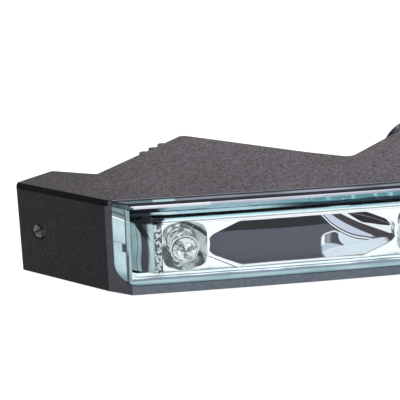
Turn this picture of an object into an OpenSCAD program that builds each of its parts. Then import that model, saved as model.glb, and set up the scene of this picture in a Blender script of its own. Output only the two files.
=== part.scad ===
// Daytime running light: a low aluminium housing with a zigzag heat-sink back,
// a clear front cover on a shallow arc, four lamp pockets and three long mirrors.
// The front faces -Y, the base lies on Z = 0 and the origin is the middle of the base.

/* [Housing] */
// Width between the two front shoulders
front_w = 205; // [198:1:230]
// Height of the housing
body_h = 24; // [23:0.5:27]
// How far the middle of the front stands before the shoulders
front_reach = 7.2; // [6.8:0.1:8]
// Radius of the front arc in plan
front_radius = 1450; // [1300:10:2000]
// Distance of each front corner from its shoulder
corner_in = 5.5; // [5:0.1:6]
// Reach of each angled end beyond its shoulder
end_reach = 21.4; // [19:0.1:24]
// Depth of each angled end behind its shoulder
end_depth = 19.9; // [18:0.1:22]
// Width of the short ear at the back of each end
ear_w = 10.2; // [9:0.1:12]
// Rise of the short ear
ear_rise = 8.4; // [7.5:0.1:9.5]
// Size of the bevel along the top edges of the angled ends
end_bevel = 1.2; // [0.6:0.1:1.6]

/* [Heat sink] */
// Outer valley, measured in from the shoulder
outer_valley_in = 0.3; // [0:0.1:2]
// Outer valley, measured back from the shoulders
outer_valley_back = 22.4; // [21:0.1:25]
// Place of the side peak between the shoulder and the inner valley
peak_share = 0.4058; // [0.38:0.005:0.44]
// Side peak, measured back from the shoulders
peak_back = 53.6; // [49:0.1:58]
// Place of the inner slope's slight knee between the shoulder and the inner valley
knee_share = 0.846; // [0.82:0.005:0.87]
// Slight knee, measured back from the shoulders
knee_back = 27.9; // [26.5:0.1:29]
// Distance of the inner valley from the middle
inner_valley_x = 33; // [31.5:0.1:36]
// Inner valley, measured back from the shoulders
inner_valley_back = 20.3; // [19.5:0.1:22]
// Width of the flat tip that carries the cable gland
tip_w = 16; // [15.5:0.5:18]
// Slope of the middle peak, in degrees
tip_slope = 44.5; // [43:0.5:47]
// Cooling ribs on each outer slope
rib_count = 3; // [2:1:4]
// Radius of a cooling rib
rib_r = 1.3; // [1:0.1:1.8]
// Distance between cooling ribs
rib_pitch = 4.6; // [4:0.1:5.5]
// Distance of the last rib from the side peak
rib_from_peak = 10.6; // [9:0.1:12]

/* [End threads] */
// Distance of each end thread from its shoulder, along the end face
thread_in = 22; // [19:0.1:23]
// Radius of the end thread
thread_r = 2; // [1.5:0.1:2.5]
// Depth of the end thread
thread_depth = 10; // [8:0.1:11]
// Width of the countersink at its mouth
thread_mouth = 0.25; // [0.1:0.05:0.5]

/* [Front cover] */
// Height of the lip under the cover
lip_h = 2.3; // [2:0.1:2.4]
// Width of the lip beside the cover
lip_side = 2; // [1.8:0.1:2.3]
// Depth of the cover behind its front
cover_depth = 3.8; // [3.6:0.1:4]
// Thickness of the cover's front
cover_wall = 1.5; // [1.3:0.1:1.6]
// Bottom wall of the cover
cover_low_wall = 1.8; // [1.5:0.1:1.9]
// Top wall of the cover
cover_top_wall = 2.5; // [1.8:0.1:2.8]
// End wall of the cover, along its facet
cover_end_wall = 2.4; // [2:0.1:2.6]
// Step from the top of the housing down to the cover
cover_drop = 0.4; // [0.2:0.1:0.8]
// Radius of the lower corners of the cover
cover_corner_r = 5.6; // [4.5:0.1:6]
// Radius along the top and bottom front edges of the cover
cover_edge_r = 1.2; // [0.8:0.1:1.5]
// Clearance beside the cover
cover_gap = 0.1; // [0.05:0.05:0.2]
// Thickness of the seal behind the cover
seal_t = 0.6; // [0.4:0.1:0.8]

/* [Cavity] */
// Depth of the cavity behind the shoulders
cavity_back = 8.1; // [7.8:0.1:9]
// Distance of the cavity's ends from the shoulders
cavity_in = 4.6; // [4.5:0.1:5.2]
// Half of the height that the housing keeps above and below the cavity
cavity_rim = 4.8; // [4.6:0.1:4.9]
// Radius of the cavity's corners
cavity_r = 3; // [2:0.1:3.5]
// Half width of the driver bay
bay_half = 20; // [19:0.5:21]
// Depth of the driver bay behind the cavity
bay_depth = 30; // [28:0.5:31]
// Thickness of the housing under the driver bay
bay_floor = 5; // [4.5:0.1:5.5]
// Height of the driver bay
bay_h = 13; // [12.5:0.1:13.5]

/* [Reflector] */
// Distance of the reflector's face behind the cover's front
face_set = 3; // [2.5:0.1:3.4]
// Thickness of the reflector's face
face_t = 1.4; // [1.2:0.1:1.6]
// Clearance round the reflector
face_gap = 0.2; // [0.1:0.05:0.4]
// Distance of the reflector's flat face from the shoulder
face_in = 11.5; // [11:0.1:12.2]
// Depth that the reflector's end wings run back
wing_back = 4.6; // [4:0.1:5.2]
// Distance of the windows' middle below the middle of the housing
light_low = 0.7; // [0.5:0.1:0.9]
// Share of a pocket's height by which its light sits low
drop_share = 0.098; // [0:0.005:0.105]
// Distance of the first light from the shoulder
light_in = 19.4; // [19:0.1:20]
// Place of the inner light between the outer light and the middle
light_share = 0.728; // [0.7:0.002:0.74]
// Width of a lamp pocket
pocket_w = 10.8; // [10:0.1:11]
// Band of the face above and below a lamp pocket
pocket_band = 0.9; // [0.6:0.1:1.2]
// Corner radius of a lamp pocket
pocket_r = 2.4; // [1.5:0.1:3]
// Share of a pocket's height that the radius of its hole takes
hole_share = 0.3525; // [0.345:0.0025:0.36]
// Thickness of the reflector's inner walls
pocket_wall = 0.8; // [0.7:0.05:0.9]
// Web between a lamp pocket and a long window
web = 0.7; // [0.5:0.1:1.6]
// Band of the face above and below a long window
window_band = 1.4; // [1.2:0.1:2]
// Height of the blunt end of a long window
window_end_h = 5; // [4:0.1:6]
// Length of the tapered end of a long window
window_taper = 7.6; // [6:0.1:9]
// Corner radius of a long window
window_r = 1.8; // [1:0.1:2.2]
// Floor thickness of a long mirror
mirror_floor = 1.2; // [0.8:0.1:1.4]
// Depth of a long mirror's flat part behind the face
mirror_deep = 2.6; // [2:0.1:3]
// Radius of the round bowl at the end of a long mirror
bowl_r = 11.2; // [10.8:0.1:11.8]
// Distance of the bowl's axis from the window's end
bowl_in = 10.3; // [10:0.1:10.6]

/* [Light board] */
// Thickness of the light board
board_t = 1.6; // [1:0.1:2]
// Thickness of the thermal pad behind it
pad_t = 0.5; // [0.3:0.1:0.8]
// Clearance round the light board
board_gap = 0.4; // [0.3:0.1:0.6]
// Side of a light chip's base, as a share of the dome's hollow
chip_share = 1.23; // [1.1:0.01:1.26]
// Collar of the dome over a light, in from its foot
dome_step = 0.5; // [0.3:0.1:0.8]
// Rise of the dome above its collar
dome_rise = 1.5; // [1:0.1:1.7]
// Distance of the collar's end behind the cover's front
dome_set = 3.8; // [3.6:0.1:4.4]
// Clearance round the dome's foot
dome_gap = 0.2; // [0.15:0.05:0.3]
// Thickness of the dome's foot
dome_foot_t = 1; // [0.8:0.1:1.2]
// Thickness of the dome's collar
dome_wall = 0.8; // [0.7:0.1:1]
// Distance of the outer board screws from the shoulder
screw_in = 9; // [8.5:0.1:10]

/* [Screws] */
// Radius of a board screw
screw_r = 1.25; // [1:0.05:1.4]
// Radius of a board screw's head
head_r = 2.2; // [2:0.1:2.4]
// Height of a board screw's head
head_h = 1.1; // [0.9:0.1:1.2]
// Length of a board screw's shank in the housing
screw_grip = 5; // [4:0.1:6]
// Radius of a driver board screw
small_screw_r = 0.9; // [0.8:0.05:1]
// Radius of a driver board screw's head
small_head_r = 1.7; // [1.5:0.1:1.9]

/* [Driver] */
// Width of the driver board
driver_w = 34; // [32:0.5:35]
// Depth of the driver board
driver_d = 19; // [18:0.5:19.5]
// Height of the posts under the driver board
post_h = 2; // [1.5:0.1:2.5]
// Radius of a post
post_r = 2.4; // [2.2:0.1:2.6]
// Distance of a post from the board's edges
post_in = 3; // [2.8:0.1:3.2]
// Radius of the inductor
coil_r = 4; // [3.5:0.1:4.2]
// Height of the inductor
coil_h = 5.5; // [4.5:0.1:6]
// Radius of the capacitor
can_r = 3.15; // [2.5:0.05:3.2]
// Height of the capacitor
can_h = 7.6; // [6:0.1:7.8]

/* [Cable gland] */
// Radius of the gland's thread in the housing
gland_r = 5.9; // [5.7:0.1:6]
// Clearance round the gland's threads
gland_gap = 0.1; // [0.05:0.05:0.2]
// Radius of the passage through the gland
passage_r = 3; // [2.8:0.1:3.2]
// Width across the flats of the gland's hexagon
gland_flats = 19; // [18:0.5:20]
// Thickness of the gland's hexagon
gland_hex_t = 4; // [3:0.1:5]
// Radius of the gland's washer
washer_r = 7.4; // [7:0.1:7.8]
// Thickness of the gland's washer
washer_t = 1; // [0.8:0.1:1.5]
// Radius of the gland's dome nut
nut_r = 10.6; // [10:0.1:11]
// Length of the gland's dome nut
nut_l = 10; // [9:0.1:12]
// Radius of the nut's thread
stub_r = 5; // [4.8:0.1:5.1]
// Length of the nut's thread
stub_l = 6; // [5:0.1:7]
// Radius of the rubber seal inside the nut
seal_r = 3.9; // [3.7:0.1:4]
// Radius of the cable hole in the rubber seal
cable_r = 2.5; // [2:0.1:2.6]

/* [Hidden] */
$fn = 64;
arc_fn = 720;
past = 1;

// Shoulder, end and corner points of the left half, in plan
half_w = front_w / 2;
shoulder = [-half_w, 0];
end_tip = shoulder + [-end_reach, end_depth];
ear_tip = end_tip + [ear_w, ear_rise];
outer_valley = [-half_w + outer_valley_in, outer_valley_back];
side_span = half_w - inner_valley_x;
side_peak = [-half_w + peak_share * side_span, peak_back];
knee = [-half_w + knee_share * side_span, knee_back];
inner_valley = [-inner_valley_x, inner_valley_back];
tip_y = inner_valley.y + (-inner_valley.x - tip_w / 2) * tan(tip_slope);
corner = [-half_w + corner_in, arc_y(half_w - corner_in)];

// Unit vectors along the front corner's facet and into the housing
facet = (corner - shoulder) / norm(corner - shoulder);
facet_in = [-facet.y, facet.x];
cover_edge = shoulder + lip_side * facet;
hollow_bend = corner + cover_wall * facet_in;
hollow_edge = cover_edge + cover_wall * facet_in + cover_end_wall * facet;

// Unit vectors along the angled end and into the housing
end_run = (end_tip - shoulder) / norm(end_tip - shoulder);
end_in = [end_run.y, -end_run.x];
end_angle = atan2(end_run.y, end_run.x);
slope_run = (side_peak - outer_valley) / norm(side_peak - outer_valley);

// Radii of the housing's upright edges
edge_r = 1;
valley_r = 3;
knee_r = 30;
peak_r = 1.6;

// Levels
mid_z = body_h / 2;
cover_top = body_h - cover_drop;
cover_top_r = 0.6;
seat_set = cover_depth + seal_t;
light_z = mid_z - light_low;
cavity_h = body_h - 2 * cavity_rim;
face_low = max(light_z - cavity_h / 2, lip_h + cover_low_wall) + face_gap;
face_h = 2 * (light_z - face_low);
board_half = half_w - cavity_in - board_gap;
board_y = cavity_back - pad_t - board_t;
head_gap = 0.2;
mirror_y = board_y - head_h - head_gap;
face_back = face_set + face_t;
bay_back = cavity_back + bay_depth;
bay_chamfer = 10;
bay_r = 2;
pad_margin = 0.5;
screw_slack = 0.05;
screw_end_gap = 0.3;
hole_slack = 0.2;

// Driver board and its parts
driver_gap = 1.4;
driver_y = cavity_back + driver_gap;
driver_z = bay_floor + post_h;
driver_t = 1.6;
driver_top = driver_z + driver_t;
small_screw_deep = 1;
small_head_h = 1;
coil_rim = 1.2;
coil_wound = 0.8;
can_foot = 1;
can_groove = 0.35;
chip_spot = [-2.5, 4.5];
chip_size = [5, 6, 1.5];
block_size = [10, 7, 8];
coil_spot = [-(driver_w + block_size.x) / 4, 9];
can_spot = [(driver_w + block_size.x) / 4, 8];
block_edge = 0.6;
wire_z = 2.6;
wire_r = 1.3;
wire_deep = 4;
clamp_r = 1.4;
clamp_deep = 1;
header_w = 8;
header_h = 3.2;
header_lap = 3;
pin_slot = 0.8;
header_wall = 1;

// Cable gland
gland_y = tip_y + washer_t;
nut_y = gland_y + gland_hex_t;
nut_end = nut_y + nut_l;
thread_gap = 0.4;
seal_start = stub_l / 4;
nut_room = 0.5;
nut_round = 2;

// Lamp pockets and long windows, whose heights follow the face
window_h = face_h - 2 * window_band;
pocket_h = face_h - 2 * pocket_band;
light_drop = drop_share * pocket_h;
pocket_hole_r = hole_share * pocket_h;

// Optic and chip of a light, which fit the hole of its pocket
dome_foot_r = pocket_hole_r - dome_gap;
dome_r = dome_foot_r - dome_step;
dome_hollow_r = dome_r - dome_wall;
chip_side = chip_share * dome_hollow_r;
chip_base = 0.2 * chip_side;
chip_dome_r = 0.377 * chip_side;

// Lights, from left to right, and the long windows between them
light_pitch = light_share * (half_w - light_in);
light_x = [-half_w + light_in, -half_w + light_in + light_pitch,
    half_w - light_in - light_pitch, half_w - light_in];
side_window_l = light_pitch - pocket_w - 2 * web;
side_window_x = half_w - light_in - light_pitch / 2;
mid_window_l = light_x[2] - light_x[1] - pocket_w - 2 * web;
screw_x = [-half_w + screw_in, -side_window_x, side_window_x, half_w - screw_in];

// The origin lies in the middle of the whole depth
mid_y = (nut_end - front_reach) / 2;

// Front arc at a distance x from the middle, set back by a distance
function arc_y(x, set = 0) =
    front_radius - front_reach - sqrt(pow(front_radius - set, 2) - x * x);

// Outline from [x, y, radius] corners, each corner an arc of short chords
function unit(v) = v / norm(v);
function corner_arc(a, b, c, r, steps) =
    let (p = unit(a - b), q = unit(c - b), half = acos(p * q) / 2)
    let (centre = b + unit(p + q) * r / sin(half), reach = r / tan(half))
    let (from = b + p * reach - centre, to = b + q * reach - centre)
    let (start = atan2(from.y, from.x), sweep = atan2(to.y, to.x) - start)
    let (turn = sweep > 180 ? sweep - 360 : sweep < -180 ? sweep + 360 : sweep)
    [for (i = [0:steps]) centre + r * [cos(start + turn * i / steps), sin(start + turn * i / steps)]];
function xy(p) = [p.x, p.y];
function round_corners(pts, steps = 5) = [for (i = [0:len(pts) - 1])
    let (a = pts[(i + len(pts) - 1) % len(pts)], b = pts[i], c = pts[(i + 1) % len(pts)])
    each (b[2] > 0 ? corner_arc(xy(a), xy(b), xy(c), b[2], steps) : [xy(b)])];

module placed() {
    translate([0, -mid_y, 0]) children();
}

// Completes the left half of an outline with its mirror image
function whole(left) = concat(left,
    [for (i = [len(left) - 1:-1:0]) [-left[i].x, left[i].y, left[i][2]]]);

module both_sides() {
    children();
    mirror([1, 0, 0]) children();
}

// Stands a drawing in x and z upright, from one depth to another
module upright(from, to) {
    translate([0, to, 0]) rotate([90, 0, 0]) linear_extrude(to - from) children();
}

// Everything behind the front arc, set back by a distance
module arc_disc(set) {
    translate([0, front_radius - front_reach]) circle(r = front_radius - set, $fn = arc_fn);
}

module body_plan() {
    left = [
        [-tip_w / 2, tip_y, edge_r], [inner_valley.x, inner_valley.y, valley_r],
        [knee.x, knee.y, knee_r], [side_peak.x, side_peak.y, peak_r],
        [outer_valley.x, outer_valley.y, edge_r], [ear_tip.x, ear_tip.y, edge_r],
        [end_tip.x, end_tip.y, edge_r], [shoulder.x, shoulder.y, 0],
        [corner.x, corner.y, 0], [corner.x, -front_reach - past, 0]];
    intersection() {
        polygon(round_corners(whole(left)));
        arc_disc(0);
    }
}

// Plan from an end over its facet to the arc, set back by a wall
module cover_plan(edge, bend, wall) {
    left = [[edge.x, cover_depth, 0], [edge.x, edge.y, 0], [bend.x, bend.y, 0],
        [bend.x, -front_reach - past, 0]];
    intersection() {
        polygon(round_corners(whole(left)));
        arc_disc(wall);
    }
}

// Front view of the cover, with large lower corners and small upper ones
module cover_face(half, low, high, low_r) {
    polygon(round_corners([[-half, low, low_r], [half, low, low_r],
        [half, high, cover_top_r], [-half, high, cover_top_r]]));
}

module cover_outline() {
    cover_face(-cover_edge.x, lip_h, cover_top, cover_corner_r);
}

module hollow_outline() {
    cover_face(-hollow_edge.x, lip_h + cover_low_wall, cover_top - cover_top_wall,
        cover_corner_r - cover_end_wall);
}

// Front view of the recess that holds the cover, open at the top
module seat_face() {
    edge = -cover_edge.x + cover_gap;
    polygon(round_corners([
        [-edge, lip_h, cover_corner_r], [edge, lip_h, cover_corner_r],
        [edge, body_h + past, 0], [-edge, body_h + past, 0]]));
}

// Section of the cover's front, with rounded front edges, about the arc's centre
module cover_section() {
    r = cover_edge_r;
    inner = front_radius - cover_depth;
    translate([inner, lip_h]) square([cover_depth - r, cover_top - lip_h]);
    translate([inner, lip_h + r]) square([cover_depth, cover_top - lip_h - 2 * r]);
    for (z = [lip_h + r, cover_top - r]) {
        translate([front_radius - r, z]) circle(r = r, $fn = 32);
    }
}

module arc_sweep() {
    translate([0, front_radius - front_reach, 0])
        rotate([0, 0, 264]) rotate_extrude(angle = 12, $fn = arc_fn) children();
}

module cavity_face(gap = 0) {
    half = half_w - cavity_in - gap;
    high = cavity_h / 2 - gap;
    r = cavity_r - gap;
    translate([0, light_z]) polygon(round_corners([
        [-half, -high, r], [half, -high, r], [half, high, r], [-half, high, r]]));
}

module bay_plan() {
    left = [[-bay_half, cavity_back - past, 0], [-bay_half, bay_back - bay_chamfer, bay_r],
        [-bay_half + bay_chamfer, bay_back, bay_r]];
    polygon(round_corners(whole(left)));
}

module post_spots() {
    for (x = [-1, 1] * (driver_w / 2 - post_in), y = [post_in, driver_d - post_in]) {
        translate([x, driver_y + y, 0]) children();
    }
}

module end_thread() {
    spot = shoulder + thread_in * end_run;
    translate([spot.x, spot.y, mid_z]) rotate([0, 0, end_angle]) rotate([90, 0, 0]) {
        translate([0, 0, -past]) cylinder(r = thread_r, h = thread_depth + past);
        mirror([0, 0, 1]) translate([0, 0, -thread_mouth])
            cylinder(r1 = thread_r, r2 = thread_r + 2 * thread_mouth, h = 2 * thread_mouth);
    }
}

// Square bar along the top edge of an angled end, turned to cut the bevel
module end_bevel_bar() {
    side = end_bevel * sqrt(2);
    length = norm(end_tip - shoulder);
    translate([shoulder.x, shoulder.y, body_h]) rotate([0, 0, end_angle]) rotate([45, 0, 0])
        translate([-past, -side / 2, -side / 2]) cube([length + 2 * past, side, side]);
}

module cooling_ribs() {
    for (i = [0:rib_count - 1]) {
        spot = side_peak - (rib_from_peak + i * rib_pitch) * slope_run;
        translate([spot.x, spot.y, 0]) cylinder(r = rib_r, h = body_h);
    }
}

module housing() {
    color([0.24, 0.23, 0.25]) difference() {
        union() {
            linear_extrude(body_h) body_plan();
            both_sides() cooling_ribs();
        }
        intersection() {
            upright(-front_reach - past, cavity_back) seat_face();
            linear_extrude(body_h + past) difference() {
                translate([-half_w, -front_reach - past])
                    square([front_w, front_reach + cover_depth]);
                arc_disc(seat_set);
            }
        }
        upright(-front_reach - past, cavity_back) cavity_face();
        difference() {
            translate([0, 0, bay_floor]) linear_extrude(bay_h) bay_plan();
            post_spots() translate([0, 0, bay_floor - past]) cylinder(r = post_r, h = post_h + past);
        }
        post_spots() translate([0, 0, bay_floor - small_screw_deep])
            cylinder(r = small_screw_r, h = small_screw_deep + post_h + past);
        for (x = screw_x) {
            translate([x, cavity_back + screw_grip, light_z]) rotate([90, 0, 0])
                cylinder(r = screw_r, h = screw_grip + past);
        }
        translate([0, tip_y + past, mid_z]) rotate([90, 0, 0])
            cylinder(r = gland_r + gland_gap, h = tip_y - bay_back + 2 * past);
        both_sides() end_thread();
        both_sides() end_bevel_bar();
    }
}

module lens() {
    color([0.72, 0.86, 0.88, 0.45]) difference() {
        intersection() {
            arc_sweep() cover_section();
            linear_extrude(body_h) cover_plan(cover_edge, corner, 0);
            upright(-front_reach - past, 2 * cover_depth) cover_outline();
        }
        intersection() {
            linear_extrude(body_h) cover_plan(hollow_edge, hollow_bend, cover_wall);
            upright(-front_reach - past, 2 * cover_depth) hollow_outline();
        }
    }
}

module lens_seal() {
    color([0.3, 0.45, 0.47]) intersection() {
        upright(-front_reach, seat_set + past) difference() {
            cover_outline();
            hollow_outline();
        }
        linear_extrude(body_h) difference() {
            arc_disc(cover_depth);
            arc_disc(seat_set);
        }
    }
}

// A long window: straight above and below, with tapered, blunt ends
module window_face(l, grow = 0) {
    half = l / 2 + grow;
    flat = l / 2 - window_taper + grow / 2;
    high = window_h / 2 + grow;
    blunt = window_end_h / 2 + grow / 2;
    r = window_r;
    polygon(round_corners([
        [-half, -blunt, r], [-flat, -high, r], [flat, -high, r], [half, -blunt, r],
        [half, blunt, r], [flat, high, r], [-flat, high, r], [-half, blunt, r]]));
}

module pocket_face(grow = 0) {
    half = pocket_w / 2 + grow;
    high = pocket_h / 2 + grow;
    r = pocket_r;
    polygon(round_corners([[-half, -high, r], [half, -high, r], [half, high, r], [-half, high, r]]));
}

// A cone over a light, cut square by the mouth of its pocket
module pocket(x, from, wall) {
    spread = norm([pocket_w, pocket_h]) / 2 + light_drop;
    intersection() {
        upright(from, board_y) translate([x, light_z]) pocket_face(min(wall, web / 2));
        translate([x, board_y, light_z - light_drop]) rotate([90, 0, 0])
            cylinder(r1 = pocket_hole_r + wall, r2 = spread + wall, h = board_y - from);
    }
}

// Plan of the face: parallel to the front arc, with a wing running back at each end
module face_plan() {
    face_x = -half_w + face_in;
    end_x = -half_w + cavity_in + 2 * face_gap;
    face_y = arc_y(face_x, face_set);
    back_y = arc_y(face_x, face_back);
    intersection() {
        difference() {
            arc_disc(face_set);
            arc_disc(face_back);
        }
        translate([face_x, -front_reach]) square([-2 * face_x, 2 * front_reach]);
    }
    both_sides() polygon([[face_x + face_t, face_y], [face_x + face_t, back_y], [face_x, back_y],
        [end_x, back_y + wing_back], [end_x, face_y + wing_back], [face_x, face_y]]);
}

// Plan of a long mirror's hollow: a flat part along the arc and a round bowl at the marked ends
module mirror_plan(x, l, ends) {
    difference() {
        translate([x - l / 2 - past, -front_reach]) square([l + 2 * past, 2 * front_reach]);
        arc_disc(face_set + mirror_deep);
    }
    for (side = ends) {
        translate([x + side * (l / 2 - bowl_in), mirror_y - mirror_floor - bowl_r])
            circle(r = bowl_r, $fn = 256);
    }
}

module window_hollow(x, l, ends) {
    intersection() {
        upright(-front_reach, mirror_y) translate([x, light_z]) window_face(l);
        linear_extrude(body_h) mirror_plan(x, l, ends);
    }
}

module window_shell(x, l) {
    intersection() {
        upright(-front_reach, mirror_y) translate([x, light_z]) window_face(l, pocket_wall);
        linear_extrude(body_h) arc_disc(face_set + face_t / 2);
    }
}

// One bright moulding: face, end wings, four lamp pockets and three long mirrors
module reflector() {
    color([0.86, 0.88, 0.9]) difference() {
        union() {
            intersection() {
                translate([0, 0, face_low]) linear_extrude(face_h) face_plan();
                upright(-front_reach, cavity_back) cavity_face(face_gap);
            }
            for (x = light_x) pocket(x, arc_y(x, face_set + face_t / 2), pocket_wall);
            for (x = [-side_window_x, side_window_x]) window_shell(x, side_window_l);
            window_shell(0, mid_window_l);
        }
        for (x = light_x) {
            pocket(x, arc_y(x, face_set) - past, 0);
            translate([x, board_y + past, light_z - light_drop]) rotate([90, 0, 0])
                cylinder(r = pocket_hole_r, h = 2 * past);
        }
        both_sides() window_hollow(-side_window_x, side_window_l, [1]);
        window_hollow(0, mid_window_l, [-1, 1]);
    }
}

module board_face() {
    difference() {
        cavity_face(board_gap);
        for (x = screw_x) translate([x, light_z]) circle(r = screw_r + hole_slack);
    }
}

module light_board() {
    color([0.9, 0.91, 0.9]) upright(board_y, board_y + board_t) board_face();
}

module thermal_pad() {
    mouth = bay_half + pad_margin;
    color([0.62, 0.66, 0.72]) upright(board_y + board_t, cavity_back) difference() {
        board_face();
        translate([-mouth, 0]) square([2 * mouth, body_h]);
    }
}

module socket_screw(r, shank, big_r, big_h) {
    difference() {
        union() {
            translate([0, 0, -shank]) cylinder(r = r, h = shank + big_h / 2);
            cylinder(r = big_r, h = big_h);
        }
        translate([0, 0, big_h / 2]) cylinder(r = big_r / 2, h = big_h, $fn = 6);
    }
}

module board_screws() {
    shank = cavity_back - board_y + screw_grip - screw_end_gap;
    color([0.7, 0.71, 0.73]) for (x = screw_x) {
        translate([x, board_y, light_z]) rotate([90, 0, 0])
            socket_screw(screw_r - screw_slack, shank, head_r, head_h);
    }
}

module light_spot(i) {
    translate([light_x[i - 1], board_y, light_z - light_drop]) children();
}

// A square base with a round dome, facing the front
module light_chip(i) {
    color([0.86, 0.85, 0.72]) light_spot(i) rotate([90, 0, 0]) {
        translate([-chip_side / 2, -chip_side / 2, 0]) cube([chip_side, chip_side, chip_base]);
        translate([0, 0, chip_base / 2]) rotate_extrude() intersection() {
            circle(r = chip_dome_r);
            square(chip_dome_r);
        }
    }
}

// A clear optic: a foot, a collar and a shallow dome, hollow over the light
module dome(i) {
    collar = board_y - arc_y(light_x[i - 1], dome_set);
    ball_r = (dome_r * dome_r + dome_rise * dome_rise) / (2 * dome_rise);
    color([0.85, 0.93, 0.95, 0.6]) light_spot(i) rotate([90, 0, 0]) difference() {
        union() {
            cylinder(r = dome_foot_r, h = dome_foot_t);
            cylinder(r = dome_r, h = collar);
            intersection() {
                translate([0, 0, collar + dome_rise - ball_r]) sphere(r = ball_r);
                cylinder(r = dome_r, h = collar + dome_rise + past);
            }
        }
        sphere(r = dome_hollow_r);
    }
}

module driver_board() {
    color([0.1, 0.35, 0.22]) difference() {
        translate([-driver_w / 2, driver_y, driver_z]) cube([driver_w, driver_d, driver_t]);
        post_spots() translate([0, 0, driver_z - past])
            cylinder(r = small_screw_r + hole_slack, h = driver_t + 2 * past);
    }
}

module driver_screws() {
    shank = driver_t + post_h + small_screw_deep - screw_end_gap;
    color([0.7, 0.71, 0.73]) post_spots() translate([0, 0, driver_top])
        socket_screw(small_screw_r - screw_slack, shank, small_head_r, small_head_h);
}

// Stands a part on the driver board, measured from the middle of its front edge
module driver_part(spot) {
    translate([spot.x, driver_y + spot.y, driver_top]) children();
}

// A wound drum between two flanges
module inductor() {
    waist = coil_r - coil_wound;
    top_rim = coil_h - coil_rim;
    color([0.2, 0.2, 0.22]) driver_part(coil_spot) rotate_extrude()
        polygon([[0, 0], [coil_r, 0], [coil_r, coil_rim], [waist, coil_rim],
            [waist, top_rim], [coil_r, top_rim], [coil_r, coil_h], [0, coil_h]]);
}

// A can with a rolled groove near its foot
module capacitor() {
    groove = can_r - can_groove;
    low = can_foot;
    high = can_foot + 3 * can_groove;
    color([0.55, 0.57, 0.6]) driver_part(can_spot) rotate_extrude()
        polygon([[0, 0], [can_r, 0], [can_r, low], [groove, low + can_groove],
            [groove, high - can_groove], [can_r, high], [can_r, can_h - can_groove],
            [groove, can_h], [0, can_h]]);
}

module driver_chip() {
    color([0.13, 0.13, 0.14]) driver_part(chip_spot) cube(chip_size);
}

// Two wire holes face the gland, with a clamping screw over each
module terminal_block() {
    size = block_size;
    color([0.15, 0.4, 0.25]) driver_part([-size.x / 2, driver_d - size.y - block_edge]) difference() {
        cube(size);
        for (x = [size.x / 4, size.x * 3 / 4]) {
            translate([x, size.y + past, wire_z]) rotate([90, 0, 0])
                cylinder(r = wire_r, h = wire_deep + past);
            translate([x, size.y / 2, size.z - clamp_deep])
                cylinder(r = clamp_r, h = clamp_deep + past);
        }
    }
}

// Joins the driver board to the back of the light board
module link_header() {
    front = board_y + board_t;
    size = [header_w, driver_y + header_lap - front, header_h];
    color([0.1, 0.1, 0.11]) translate([-size.x / 2, front, driver_top]) difference() {
        cube(size);
        for (x = [size.x / 4, size.x * 3 / 4]) {
            translate([x - pin_slot / 2, header_wall, size.z / 2])
                cube([pin_slot, size.y - 2 * header_wall, size.z]);
        }
    }
}

module gland_axis(y) {
    translate([0, y, mid_z]) rotate([-90, 0, 0]) children();
}

module gland_body() {
    thread_from = bay_back + thread_gap;
    color([0.08, 0.09, 0.11]) difference() {
        union() {
            gland_axis(thread_from) cylinder(r = gland_r, h = gland_y - thread_from + gland_hex_t / 2);
            gland_axis(gland_y) cylinder(r = gland_flats / 2 / cos(30), h = gland_hex_t, $fn = 6);
            gland_axis(nut_y) cylinder(r = stub_r, h = stub_l);
        }
        gland_axis(bay_back - past) cylinder(r = passage_r, h = nut_end - bay_back);
        gland_axis(nut_y + seal_start) cylinder(r = seal_r + gland_gap, h = stub_l);
    }
}

module gland_washer() {
    color([0.05, 0.05, 0.05]) gland_axis(tip_y) difference() {
        cylinder(r = washer_r, h = washer_t);
        translate([0, 0, -past]) cylinder(r = gland_r + gland_gap, h = washer_t + 2 * past);
    }
}

module gland_seal() {
    length = stub_l + nut_room - seal_start;
    color([0.12, 0.12, 0.12]) gland_axis(nut_y + seal_start) difference() {
        cylinder(r = seal_r, h = length);
        translate([0, 0, -past]) cylinder(r = cable_r, h = length + 2 * past);
    }
}

// A smooth nut whose end rounds over to the cable hole
module gland_nut() {
    inner = nut_r - nut_round;
    flat = nut_l - nut_round;
    color([0.07, 0.08, 0.1]) gland_axis(nut_y) difference() {
        rotate_extrude() {
            square([nut_r, flat]);
            square([inner, nut_l]);
            translate([inner, flat]) circle(r = nut_round);
        }
        translate([0, 0, -past]) cylinder(r = stub_r + gland_gap, h = stub_l + nut_room + past);
        cylinder(r = passage_r, h = nut_l + past);
    }
}

placed() housing();
placed() lens();
placed() lens_seal();
placed() reflector();
placed() light_board();
placed() thermal_pad();
placed() board_screws();
for (i = [1:4]) {
    placed() light_chip(i);
    placed() dome(i);
}
placed() driver_board();
placed() driver_screws();
placed() inductor();
placed() capacitor();
placed() driver_chip();
placed() terminal_block();
placed() link_header();
placed() gland_body();
placed() gland_washer();
placed() gland_seal();
placed() gland_nut();
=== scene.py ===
import math

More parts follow.
